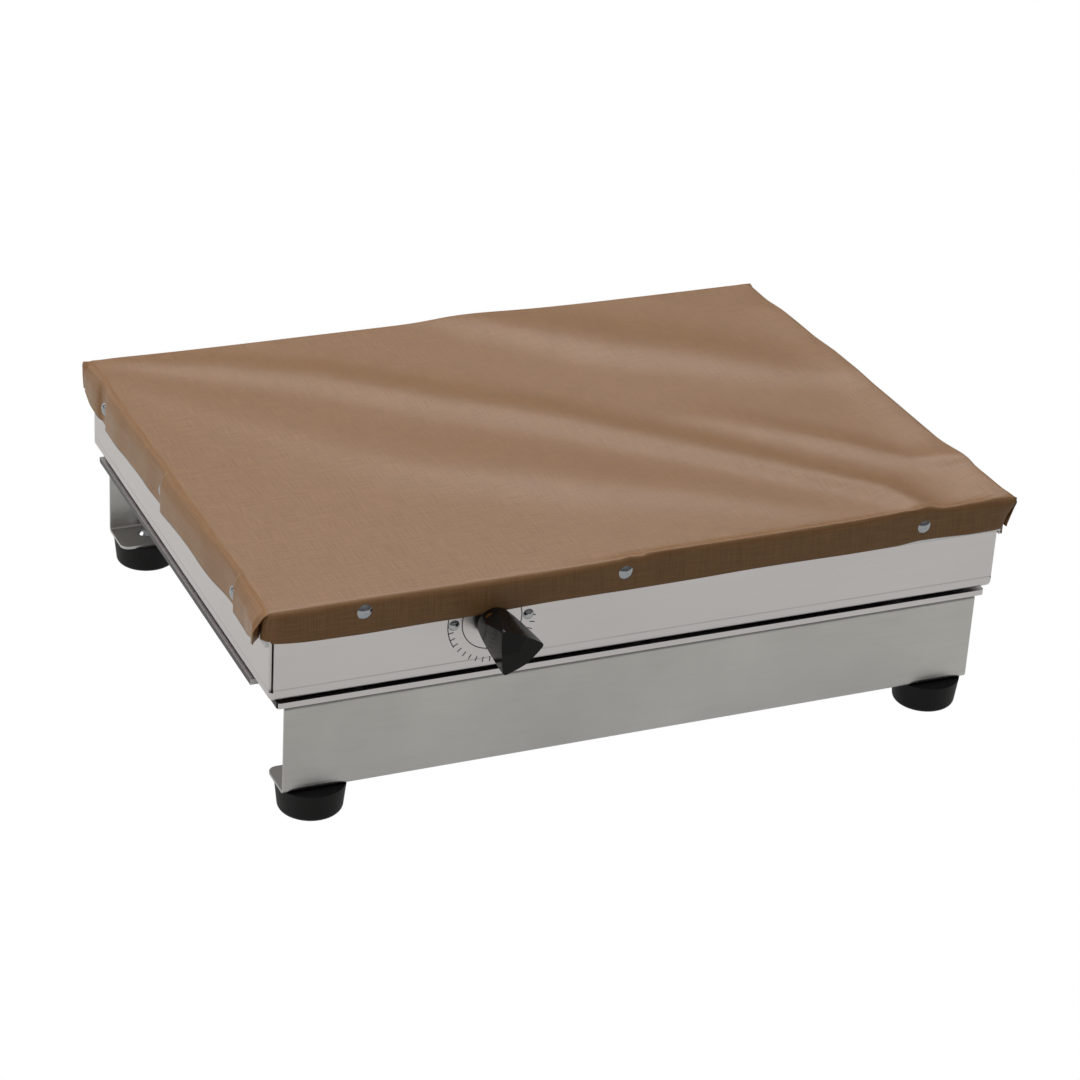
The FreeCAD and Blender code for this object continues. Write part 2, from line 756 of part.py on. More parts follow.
def make_knob():
    # three-sided prism with bulging sides, growing from a round back to full corners in front
    edges = []
    for i in range(3):
        middle_angle = math.radians(knob_turn + 120 * i + 60)
        middle = V(knob_side_apothem * math.cos(middle_angle), 0,
                   knob_side_apothem * math.sin(middle_angle))
        edges.append(Part.Arc(knob_corner(i, knob_corner_radius), middle,
                              knob_corner(i + 1, knob_corner_radius)).toShape())
    face = Part.Face(Part.Wire(edges))
    prism = face.extrude(V(0, -knob_length, 0))
    prism = prism.makeFillet(knob_edge, edges_along(prism, Y_AXIS, lambda c: True))
    flare = Part.makeCone(knob_back_radius, knob_front_radius, knob_length, V(0, 0, 0), V(0, -1, 0))
    knob = prism.common(flare)
    for i in range(3):
        middle_angle = knob_turn + 120 * i + 60
        cutter = block(-knob_length, knob_length, -knob_length, 0, -knob_length, knob_length)
        cutter.rotate(V(0, 0, 0), X_AXIS, knob_facet_slope)
        cutter.rotate(V(0, 0, 0), Y_AXIS, 90 - middle_angle)
        cutter.translate(V(0, -knob_length, 0))
        knob = knob.cut(cutter)
    knob.translate(spindle_at + V(0, knob_back, 0))
    bore = rod(spindle_radius + running_gap, knob_bore_depth + clear,
               spindle_at + V(0, knob_back + clear, 0), V(0, -1, 0))
    at = spindle_at + V(0, knob_back - grub_from_back, 0)
    screw_hole = rod(grub_radius + running_gap, knob_corner_radius + clear, at, knob_direction())
    return knob.cut([bore, screw_hole])


def make_grub_screw():
    at = spindle_at + V(0, knob_back - grub_from_back, 0)
    out = knob_direction()
    growth = (knob_front_radius - knob_back_radius) / knob_length
    surface = knob_back_radius + growth * (grub_from_back - grub_radius)
    start = spindle_flat + running_gap
    end = surface - grub_recess
    screw = rod(grub_radius, end - start, at + out * start, out)
    slot = block(-clear, clear, -grub_slot_width / 2, grub_slot_width / 2, -grub_slot_depth, clear)
    slot.rotate(V(0, 0, 0), Z_AXIS, grub_slot_turn)
    slot.Placement = FreeCAD.Placement(at + out * end, FreeCAD.Rotation(Z_AXIS, out)).multiply(
        slot.Placement)
    return screw.cut(slot)


def make_dial_screws():
    return group([dome_screw(small_screw, small_screw_length, small_head, small_head_height,
                             at, V(0, -1, 0)) for at in dial_screw_places()])


def element_path():
    # serpentine of straight legs joined by half turns, from the front leg to the rear one
    y0 = -element_pitch * (element_legs - 1) / 2
    x0 = element_straight / 2
    edges = []
    side = -1
    for leg in range(element_legs):
        y = y0 + leg * element_pitch
        start = V(side * x0, y, element_z)
        end = V(-side * x0, y, element_z)
        edges.append(Part.LineSegment(start, end).toShape())
        side = -side
        if leg < element_legs - 1:
            r = element_pitch / 2
            edges.append(Part.Arc(end, V(end.x + side * r, y + r, element_z),
                                  V(end.x, y + element_pitch, element_z)).toShape())
    return Part.Wire(edges)


def make_element():
    path = element_path()
    start = path.OrderedVertexes[0].Point
    ring = Part.Wire(Part.makeCircle(element_radius, start, X_AXIS))
    return path.makePipeShell([ring], True, True)


def element_ends():
    y = element_pitch * (element_legs - 1) / 2
    return [V(-element_straight / 2, s * y, element_z) for s in (-1, 1)]


def make_end_insulators():
    solids = []
    for at in element_ends():
        bead = rod(end_insulator_radius, end_insulator_length, at, V(-1, 0, 0))
        solids.append(bead.cut(rod(terminal_radius + running_gap, end_insulator_length, at,
                                   V(-1, 0, 0))))
    return group(solids)


def make_element_terminals():
    return group([rod(terminal_radius, end_insulator_length + terminal_length, at, V(-1, 0, 0))
                  for at in element_ends()])


def make_clamp(x):
    bar = block(x - clamp_width / 2, x + clamp_width / 2, -clamp_length / 2, clamp_length / 2,
                clamp_top - clamp_sheet, clamp_top)
    bar = bar.makeFillet(clamp_corner, edges_along(bar, Z_AXIS, lambda c: True))
    holes = [rod(stud_radius + stud_hole_gap, 2 * clear, V(x, y, clamp_top - clear), Z_AXIS)
             for y in stud_y]
    return bar.cut(holes)


def make_studs():
    return group([rod(stud_radius, stud_length, V(x, y, plate_under), V(0, 0, -1))
                  for x in clamp_x for y in stud_y])


def make_clamp_nuts():
    low = clamp_top - clamp_sheet - nut_height
    return group([nut(nut_across, nut_height, stud_radius, V(x, y, low), Z_AXIS)
                  for x in clamp_x for y in stud_y])


def make_board():
    board = block(-board_width / 2, board_width / 2, -board_depth / 2, board_depth / 2,
                  tray_floor, tray_floor + board_thickness)
    return board.makeFillet(board_corner, edges_along(board, Z_AXIS, lambda c: True))


def tube_path(points, radius):
    # straight runs joined by tangent arcs of one radius
    edges = []
    start = points[0]
    for i in range(1, len(points) - 1):
        before = (points[i - 1] - points[i]).normalize()
        after = (points[i + 1] - points[i]).normalize()
        half = before.getAngle(after) / 2
        back = radius / math.tan(half)
        p = points[i] + before * back
        q = points[i] + after * back
        inward = (before + after).normalize()
        centre = points[i] + inward * (radius / math.sin(half))
        edges.append(Part.LineSegment(start, p).toShape())
        edges.append(Part.Arc(p, centre - inward * radius, q).toShape())
        start = q
    edges.append(Part.LineSegment(start, points[-1]).toShape())
    return Part.Wire(edges)


def make_sensing_bulb():
    z = plate_under - bulb_seat_gap - bulb_radius
    left = bulb_x - bulb_length / 2
    bulb = rod(bulb_radius, bulb_length, V(left, bulb_y, z), X_AXIS)
    bulb = bulb.makeFillet(bulb_edge, [e for e in bulb.Edges if e.Closed])
    rear = inner_front + thermostat_flange_sheet + thermostat_depth
    down_x = left - capillary_side
    entry_x = dial_x - capillary_side
    points = [V(left, bulb_y, z), V(down_x, bulb_y, z), V(down_x, bulb_y, capillary_z),
              V(entry_x, rear + capillary_rear, capillary_z), V(entry_x, rear, capillary_z)]
    path = tube_path(points, capillary_bend)
    ring = Part.Wire(Part.makeCircle(capillary_radius, points[0], X_AXIS))
    tube = path.makePipeShell([ring], True, True)
    return bulb.fuse(tube).removeSplitter()


def make_bulb_clip():
    # saddle over the bulb, spot welded to the plate at its two feet
    z = plate_under
    r_in = bulb_radius + bulb_seat_gap
    r_out = r_in + clip_sheet
    centre = V(bulb_x - clip_width / 2, bulb_y, z - r_in)
    ring = rod(r_out, clip_width, centre, X_AXIS).cut(rod(r_in, clip_width, centre, X_AXIS))
    lower = block(centre.x, centre.x + clip_width, bulb_y - r_out, bulb_y + r_out,
                  z - r_in - r_out, z - r_in)
    saddle = ring.common(lower)
    parts = []
    for s in (-1, 1):
        y = sorted((bulb_y + s * r_in, bulb_y + s * r_out))
        parts.append(block(centre.x, centre.x + clip_width, y[0], y[1], z - r_in, z))
        y = sorted((bulb_y + s * r_in, bulb_y + s * (r_out + clip_foot)))
        parts.append(block(centre.x, centre.x + clip_width, y[0], y[1], z - clip_sheet, z))
    return saddle.fuse(parts).removeSplitter()


def block_screw_places():
    y = inner_rear - block_from_rear - block_depth / 2
    step = block_width / block_ways
    return [V(block_x + s * step / 2, y, tray_floor) for s in (-1, 1)]


def make_terminal_block():
    y1 = inner_rear - block_from_rear
    y0 = y1 - block_depth
    x0 = block_x - block_width / 2
    body = block(x0, x0 + block_width, y0, y1, tray_floor, tray_floor + block_height)
    cuts = []
    step = block_width / block_ways
    for i in range(block_ways):
        x = x0 + step * (i + 0.5)
        z = tray_floor + block_height * block_wire_height
        cuts.append(rod(block_wire_hole, block_depth + 2 * clear, V(x, y0 - clear, z), Y_AXIS))
        for y in (y0 + block_depth * block_screw_inset, y1 - block_depth * block_screw_inset):
            cuts.append(rod(block_screw_hole, block_height, V(x, y, z), Z_AXIS))
    for at in block_screw_places():
        cuts.append(rod(small_screw + running_gap, block_height + 2 * clear, at - Z_AXIS * clear,
                        Z_AXIS))
    return body.cut(cuts)


def make_block_screws():
    top = tray_floor + block_height
    return group([dome_screw(small_screw, block_height, small_head, small_head_height,
                             V(at.x, at.y, top), Z_AXIS) for at in block_screw_places()])


def earth_at():
    return V(earth_x, inner_rear - earth_from_rear, tray_floor)


def make_earth_stud():
    return rod(earth_radius, earth_length, earth_at(), Z_AXIS)


def make_earth_nuts():
    low = earth_at()
    return group([nut(earth_nut_across, earth_nut_height, earth_radius,
                      low + Z_AXIS * (earth_nut_gap + i * (earth_nut_height + earth_nut_gap)),
                      Z_AXIS) for i in range(2)])


def gland_at():
    return V(gland_x, rear_face, tray_bottom + gland_z)


def make_gland_body():
    at = gland_at()
    thread = rod(gland_thread, gland_inside + tray_sheet, at - Y_AXIS * (gland_inside + tray_sheet),
                 Y_AXIS)
    flange = hexagon(gland_across, gland_flange, at, Y_AXIS)
    collar = rod(gland_collar_radius, gland_collar, at + Y_AXIS * gland_flange, Y_AXIS)
    solid = thread.fuse([flange, collar]).removeSplitter()
    reach = gland_inside + tray_sheet + gland_flange + gland_collar
    return solid.cut(rod(gland_bore, reach + 2 * clear,
                         at - Y_AXIS * (gland_inside + tray_sheet + clear), Y_AXIS))


def make_gland_locknut():
    start = gland_at() - Y_AXIS * (tray_sheet + gland_locknut)
    return nut(gland_across, gland_locknut, gland_thread, start, Y_AXIS)


def make_gland_seal():
    start = gland_at() + Y_AXIS * (gland_flange + gland_collar)
    ring = rod(gland_collar_radius - gland_seal_wall, gland_seal_length, start, Y_AXIS)
    return ring.cut(rod(gland_bore, gland_seal_length, start, Y_AXIS))


def make_gland_dome_nut():
    start = gland_at() + Y_AXIS * gland_flange
    outer = hexagon(gland_across, gland_nut_length, start, Y_AXIS)
    dome = Part.makeSphere(gland_dome_radius, start + Y_AXIS * gland_dome_centre)
    outer = outer.common(dome.fuse(rod(gland_dome_radius, gland_nut_length / 2, start, Y_AXIS)))
    inside = rod(gland_collar_radius + running_gap, gland_collar + gland_seal_length, start,
                 Y_AXIS)
    mouth = rod(gland_bore, gland_nut_length + clear, start, Y_AXIS)
    return outer.cut([inside, mouth])


def main():
    os.makedirs("parts", exist_ok=True)
    save("tray_housing", make_tray())
    save("heating_plate", make_heating_plate())
    save("cover_cloth", make_cloth())
    save("cover_rivets", make_rivets())
    save("front_rail", make_rail(True))
    save("rear_rail", make_rail(False))
    save("base_plate", make_base_plate())
    save("base_spacers", make_base_spacers())
    save("rail_screws", make_rail_screws())
    save("rail_nuts", make_rail_nuts())
    for name, at in foot_places().items():
        save("foot_" + name, make_foot(at))
    save("foot_screws", make_foot_screws())
    save("foot_washers", make_foot_washers())
    save("foot_nuts", make_foot_nuts())
    save("thermostat_body", make_thermostat_body())
    save("thermostat_spindle", make_spindle())
    save("control_knob", make_knob())
    save("knob_grub_screw", make_grub_screw())
    save("dial_screws", make_dial_screws())
    save("heating_element", make_element())
    save("element_end_insulators", make_end_insulators())
    save("element_terminals", make_element_terminals())
    for name, x in zip(clamp_names, clamp_x):
        save("element_clamp_" + name, make_clamp(x))
    save("clamp_studs", make_studs())
    save("clamp_nuts", make_clamp_nuts())
    save("insulation_board", make_board())
    save("sensing_bulb", make_sensing_bulb())
    save("bulb_clip", make_bulb_clip())
    save("terminal_block", make_terminal_block())
    save("terminal_block_screws", make_block_screws())
    save("earth_stud", make_earth_stud())
    save("earth_nuts", make_earth_nuts())
    save("gland_body", make_gland_body())
    save("gland_locknut", make_gland_locknut())
    save("gland_seal", make_gland_seal())
    save("gland_dome_nut", make_gland_dome_nut())


main()
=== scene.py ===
import bpy
import math
import numpy as np
from mathutils import Matrix, Vector


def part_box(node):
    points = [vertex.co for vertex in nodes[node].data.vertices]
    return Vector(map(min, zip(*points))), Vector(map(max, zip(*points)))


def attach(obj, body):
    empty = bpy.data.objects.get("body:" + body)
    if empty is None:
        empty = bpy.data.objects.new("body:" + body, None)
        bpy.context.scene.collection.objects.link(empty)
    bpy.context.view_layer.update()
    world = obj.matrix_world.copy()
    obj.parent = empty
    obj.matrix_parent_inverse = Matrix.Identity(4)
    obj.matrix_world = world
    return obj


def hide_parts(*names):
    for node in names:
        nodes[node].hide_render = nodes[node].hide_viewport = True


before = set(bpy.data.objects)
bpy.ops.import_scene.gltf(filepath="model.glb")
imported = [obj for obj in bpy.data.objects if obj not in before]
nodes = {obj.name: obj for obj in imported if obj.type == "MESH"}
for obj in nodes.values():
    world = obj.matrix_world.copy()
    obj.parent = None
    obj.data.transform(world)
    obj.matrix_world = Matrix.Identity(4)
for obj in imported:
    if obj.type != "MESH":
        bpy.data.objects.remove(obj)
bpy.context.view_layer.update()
scene = bpy.context.scene

# Surroundings: a plain pale floor, an even pale sky that is darker near the horizon, and four
# large soft lamps. The floor and the sky are white to the eye, and metal shows mostly the white
# floor. The camera stands where the photographer stood, to the left of the front.
scene.view_settings.view_transform = "Standard"
floor_reach = 6.0
floor_colour = (0.44, 0.435, 0.375, 1)
floor_white_in_metal = 0.55
sky_colour = (1.0, 0.99, 0.985, 1)
sky_at_horizon, sky_overhead = 0.10, 0.36
lamp_colour = (1.0, 0.965, 0.955)
lamp_target = (0, 0, 0.1)
# each lamp's name, place, width, height and watts
lamps = (("back_lamp", (1.15, 2.5, 2.75), 2.2, 1.2, 66),
         ("left_lamp", (-2.4, 0.2, 1.3), 1.8, 1.6, 26),
         ("over_lamp", (-0.3, 0.3, 2.6), 1.8, 1.8, 14),
         ("far_lamp", (-1.35, 2.4, 1.0), 1.8, 1.2, 10))
camera_place = (-0.65385, -1.42861, 0.86358)
camera_degrees = (62.8113, -3.0677, -23.1039)
camera_sensor, camera_focus, camera_far = 36, 109.12, 20


def place_in_scene(name, data):
    thing = bpy.data.objects.new(name, data)
    scene.collection.objects.link(thing)
    return thing


def add_node(tree, kind, inputs=None, **settings):
    # a new node with its settings; each input gets a value, or the output that feeds it
    node = tree.nodes.new(kind)
    for key, value in settings.items():
        setattr(node, key, value)
    for key, value in (inputs or {}).items():
        if isinstance(value, bpy.types.NodeSocket):
            tree.links.new(value, node.inputs[key])
        else:
            node.inputs[key].default_value = value
    return node


def maths(tree, operation, *values):
    # one step of arithmetic on numbers or outputs
    return add_node(tree, "ShaderNodeMath", dict(enumerate(values)), operation=operation).outputs[0]


def mixed_shader(tree, share, first, second):
    mix = add_node(tree, "ShaderNodeMixShader", {0: share, 1: first.outputs[0],
                                                 2: second.outputs[0]})
    return mix.outputs[0]


floor_mesh = bpy.data.meshes.new("floor")
floor_mesh.from_pydata([(x * floor_reach, y * floor_reach, 0)
                        for x, y in ((-1, -1), (1, -1), (1, 1), (-1, 1))], [], [(0, 1, 2, 3)])
floor = place_in_scene("floor", floor_mesh)
floor_paint = bpy.data.materials.new("floor_paint")
floor_paint.use_nodes = True
floor_tree = floor_paint.node_tree
floor_tree.nodes.clear()
floor_ray = add_node(floor_tree, "ShaderNodeLightPath").outputs
floor_share = maths(floor_tree, "MULTIPLY_ADD", floor_ray["Is Glossy Ray"], floor_white_in_metal,
                    floor_ray["Is Camera Ray"])
floor_diffuse = add_node(floor_tree, "ShaderNodeBsdfDiffuse", {"Color": floor_colour})
floor_glow = add_node(floor_tree, "ShaderNodeEmission", {"Strength": 1.0})
floor_look = mixed_shader(floor_tree, floor_share, floor_diffuse, floor_glow)
add_node(floor_tree, "ShaderNodeOutputMaterial", {"Surface": floor_look})
floor_mesh.materials.append(floor_paint)

sky = bpy.data.worlds.new("sky")
scene.world = sky
sky.use_nodes = True
sky_tree = sky.node_tree
sky_tree.nodes.clear()
sky_place = add_node(sky_tree, "ShaderNodeTexCoord").outputs["Generated"]
sky_height = add_node(sky_tree, "ShaderNodeSeparateXYZ", {0: sky_place}).outputs["Z"]
sky_rise = add_node(sky_tree, "ShaderNodeMapRange",
                    {"Value": sky_height, "To Min": sky_at_horizon, "To Max": sky_overhead})
sky_even = add_node(sky_tree, "ShaderNodeBackground",
                    {"Color": sky_colour, "Strength": sky_rise.outputs[0]})
sky_seen = add_node(sky_tree, "ShaderNodeBackground", {"Strength": 1.0})
sky_ray = add_node(sky_tree, "ShaderNodeLightPath").outputs
sky_look = mixed_shader(sky_tree, sky_ray["Is Camera Ray"], sky_even, sky_seen)
add_node(sky_tree, "ShaderNodeOutputWorld", {"Surface": sky_look})

for name, place, width, height, watts in lamps:
    lamp = bpy.data.lights.new(name, "AREA")
    lamp.shape = "RECTANGLE"
    lamp.size, lamp.size_y = width, height
    lamp.energy = watts
    lamp.color = lamp_colour
    holder = place_in_scene(name, lamp)
    holder.location = place
    aim = Vector(lamp_target) - Vector(place)
    holder.rotation_euler = aim.to_track_quat("-Z", "Y").to_euler()

camera_lens = bpy.data.cameras.new("camera")
camera_lens.sensor_width = camera_sensor
camera_lens.lens = camera_focus
camera_lens.clip_end = camera_far
camera = place_in_scene("camera", camera_lens)
camera.location = camera_place
camera.rotation_euler = [math.radians(angle) for angle in camera_degrees]
scene.camera = camera

# Rubber feet: four moulded black rubber discs with a rounded lower edge.
# Each is held by a screw through the rail's lower flange; the nut sits in its recess.
mm = 0.001
bump_depth = 0.4 * mm


def paint(name, colour, metallic, roughness, specular):
    # a material with one surface shader, to which a piece's own pattern is added
    material = bpy.data.materials.new(name)
    material.use_nodes = True
    surface = material.node_tree.nodes["Principled BSDF"]
    surface.inputs["Base Color"].default_value = (*colour, 1)
    surface.inputs["Metallic"].default_value = metallic
    surface.inputs["Roughness"].default_value = roughness
    surface.inputs["Specular IOR Level"].default_value = specular
    return material, material.node_tree, surface


def mixed_colour(tree, share, first, second, blend_type="MIX"):
    # a Mix node takes its share at 0 and its colours at 6 and 7, and gives their mix at 2
    return add_node(tree, "ShaderNodeMix", {0: share, 6: first, 7: second}, data_type="RGBA",
                    blend_type=blend_type).outputs[2]


def mottle_group():
    # soft uneven patches and a fine grain: a mask from 0 to 1, a fine value, and a normal
    group = bpy.data.node_groups.new("mottle_and_grain", "ShaderNodeTree")
    face = group.interface
    for name, start in (("Patch Scale", 20.0), ("Grain Scale", 900.0), ("Stretch X", 1.0),
                        ("Stretch Y", 1.0), ("Stretch Z", 1.0), ("Bump", 0.1)):
        socket = face.new_socket(name, in_out="INPUT", socket_type="NodeSocketFloat")
        socket.default_value = start
    for name, kind in (("Patches", "NodeSocketFloat"), ("Grain", "NodeSocketFloat"),
                       ("Normal", "NodeSocketVector")):
        face.new_socket(name, in_out="OUTPUT", socket_type=kind)
    into = add_node(group, "NodeGroupInput").outputs
    place = add_node(group, "ShaderNodeTexCoord").outputs["Object"]
    stretch = add_node(group, "ShaderNodeCombineXYZ",
                       {axis: into["Stretch " + axis] for axis in "XYZ"})
    drawn = add_node(group, "ShaderNodeVectorMath", {0: place, 1: stretch.outputs[0]},
                     operation="MULTIPLY")
    patches = add_node(group, "ShaderNodeTexNoise",
                       {"Vector": place, "Scale": into["Patch Scale"], "Detail": 3})
    grain = add_node(group, "ShaderNodeTexNoise",
                     {"Vector": drawn.outputs[0], "Scale": into["Grain Scale"], "Detail": 4})
    bump = add_node(group, "ShaderNodeBump", {"Distance": bump_depth, "Strength": into["Bump"],
                                              "Height": grain.outputs["Fac"]})
    add_node(group, "NodeGroupOutput", {"Patches": patches.outputs["Fac"],
                                        "Grain": grain.outputs["Fac"], "Normal": bump.outputs[0]})
    return group


mottle = mottle_group()


def textured(name, colour, metallic, roughness, spread, colour_spread=0.12, specular=0.5,
             **pattern_sizes):
    # paint whose colour and roughness vary over the surface through the shared group
    material, tree, surface = paint(name, colour, metallic, roughness, specular)
    inputs = {key.replace("_", " ").title(): size for key, size in pattern_sizes.items()}
    pattern = add_node(tree, "ShaderNodeGroup", inputs, node_tree=mottle).outputs
    dark, pale = ((*[min(c * share, 1) for c in colour], 1)
                  for share in (1 - colour_spread, 1 + colour_spread))
    blend = mixed_colour(tree, pattern["Patches"], dark, pale)
    level = add_node(tree, "ShaderNodeMapRange", {"Value": pattern["Grain"],
                                                  "To Min": roughness - spread,
                                                  "To Max": roughness + spread})
    tree.links.new(blend, surface.inputs["Base Color"])
    tree.links.new(level.outputs[0], surface.inputs["Roughness"])
    tree.links.new(pattern["Normal"], surface.inputs["Normal"])
    return material


def dress(material, *names):
    for name in names:
        mesh = nodes[name].data
        mesh.materials.clear()
        mesh.materials.append(material)


rubber = textured("foot_rubber", (0.010, 0.010, 0.0105), 0, 0.55, 0.12, specular=0.2,
                  grain_scale=1400.0, patch_scale=60.0, bump=0.25)
dress(rubber, "foot_front_left", "foot_front_right", "foot_rear_left", "foot_rear_right")

# Zinc-plated screws, nuts, washers, spacers and studs: bought parts in plated steel.
# They join rails, base plate and tray, hold the feet and clamp the element.
zinc = textured("zinc_plate", (0.42, 0.43, 0.44), 1, 0.20, 0.08, grain_scale=1500.0,
                patch_scale=160.0, bump=0.08)
dress(zinc, "foot_screws", "foot_washers", "foot_nuts", "rail_screws", "rail_nuts",
      "base_spacers", "clamp_studs", "clamp_nuts", "terminal_block_screws", "dial_screws")

# Rails: two channels folded from stainless sheet, brushed along their length.
# They carry the tray on their upper flanges and the feet on their lower ones.
rail_steel = textured("rail_steel", (0.52, 0.515, 0.495), 1, 0.40, 0.10, colour_spread=0.17,
                      grain_scale=700.0, stretch_x=0.05, patch_scale=14.0, bump=0.16)
dress(rail_steel, "front_rail", "rear_rail")

# Base plate and tray: bright aluminium sheet, the tray folded with open notched corners.
# The tray holds element, insulation and thermostat; the plate closes it from below. The tray
# shows its press line; the plate's left and right edge faces carry painted shade of the dark gap
# under the tray.
press_line_level = 76.2 * mm
press_line_half_width = 0.6 * mm
press_line_shade = (0.45, 0.45, 0.45, 1)
press_line_wear_scale = 14.0
# painted shade: a near-black colour on the plate's left and right edge faces, standing for the dark
# gap under the tray
side_edge_painted_shade = (0.02, 0.02, 0.02, 1)
painted_shade_facing = 0.7


def sheet_aluminium(name):
    return textured(name, (0.61, 0.585, 0.585), 1, 0.30, 0.07, colour_spread=0.07,
                    grain_scale=420.0, stretch_x=0.06, stretch_y=0.06, patch_scale=9.0, bump=0.07)


def darken(material, mask, shade):
    # multiply the colour that the surface has so far by a shade, where the mask is 1
    tree = material.node_tree
    colour = tree.nodes["Principled BSDF"].inputs["Base Color"]
    so_far = colour.links[0].from_socket
    tree.links.new(mixed_colour(tree, mask, so_far, shade, "MULTIPLY"), colour)


def press_line(tree):
    # mask of the faint line that the press brake left along each bend, fading here and there
    place = add_node(tree, "ShaderNodeTexCoord").outputs["Object"]
    height = add_node(tree, "ShaderNodeSeparateXYZ", {0: place}).outputs["Z"]
    away = maths(tree, "ABSOLUTE", maths(tree, "SUBTRACT", height, press_line_level))
    line = add_node(tree, "ShaderNodeMapRange",
                    {"Value": away, "From Max": press_line_half_width, "To Min": 1.0,
                     "To Max": 0.0}, interpolation_type="SMOOTHSTEP")
    wear = add_node(tree, "ShaderNodeTexNoise", {"Vector": place, "Scale": press_line_wear_scale})
    return maths(tree, "MULTIPLY", line.outputs[0], wear.outputs["Fac"])


def painted_shade_sides(tree):
    # mask of the plate's edge faces that face left or right, which get painted shade
    facing = add_node(tree, "ShaderNodeTexCoord").outputs["Normal"]
    sideways = add_node(tree, "ShaderNodeSeparateXYZ", {0: facing}).outputs["X"]
    return maths(tree, "GREATER_THAN", maths(tree, "ABSOLUTE", sideways), painted_shade_facing)


tray_metal = sheet_aluminium("tray_aluminium")
darken(tray_metal, press_line(tray_metal.node_tree), press_line_shade)
dress(tray_metal, "tray_housing")
base_metal = sheet_aluminium("base_aluminium")
# painted shade darkens the plate's left and right edge faces
darken(base_metal, painted_shade_sides(base_metal.node_tree), side_edge_painted_shade)
dress(base_metal, "base_plate")

# Heating plate: a thick aluminium lid, matt as milled, folded down outside the tray.
plate_metal = textured("plate_aluminium", (0.55, 0.55, 0.55), 1, 0.45, 0.1, grain_scale=600.0,
                       stretch_y=0.1, patch_scale=12.0, bump=0.1)
dress(plate_metal, "heating_plate")

# Control: thermostat behind the tray's front wall, its steel spindle and the black knob.
# The knob is glossy moulded plastic, fixed to the spindle by a brass grub screw.
case_steel = textured("thermostat_steel", (0.50, 0.50, 0.48), 1, 0.38, 0.1, patch_scale=40.0)
dress(case_steel, "thermostat_body")
bright_steel = textured("bright_steel", (0.56, 0.56, 0.56), 1, 0.22, 0.08, patch_scale=90.0)
dress(bright_steel, "thermostat_spindle", "element_terminals")
knob_plastic = textured("knob_plastic", (0.006, 0.006, 0.0065), 0, 0.15, 0.04, specular=0.16,
                        grain_scale=500.0, patch_scale=70.0, bump=0.03)
dress(knob_plastic, "control_knob")
brass = textured("turned_brass", (0.66, 0.46, 0.17), 1, 0.25, 0.08, patch_scale=120.0)
dress(brass, "knob_grub_screw", "earth_stud", "earth_nuts")

# Dial marks: black ink printed on the tray's front wall round the spindle. Radial ticks run
# round the lower half, with a rim line on the left, and a thin ring inside them ends in an
# arrowhead. They are laid as strips 0.05 mm thick just in front of the sheet.
dial_sizes = {"Inner Radius": 15.8 * mm, "Outer Radius": 23.3 * mm, "Tick Length": 2.8 * mm,
              "Line Width": 0.5 * mm, "Ink Thickness": 0.05 * mm, "Arrow Size": 0.9 * mm}
dial_angles = {"Tick Start": -179.0, "Tick Sweep": 177.0, "Ring Start": 150.0,
               "Ring Sweep": 109.0, "Ring End Start": -22.0, "Ring End Sweep": 45.0,
               "Rim Start": 150.0, "Rim Sweep": 62.0, "Arrow Lead": 3.0}
dial_counts = {"Ticks": 19, "Arc Points": 40}
dial_shift = 0.4 * mm
ink_lift = 0.03 * mm


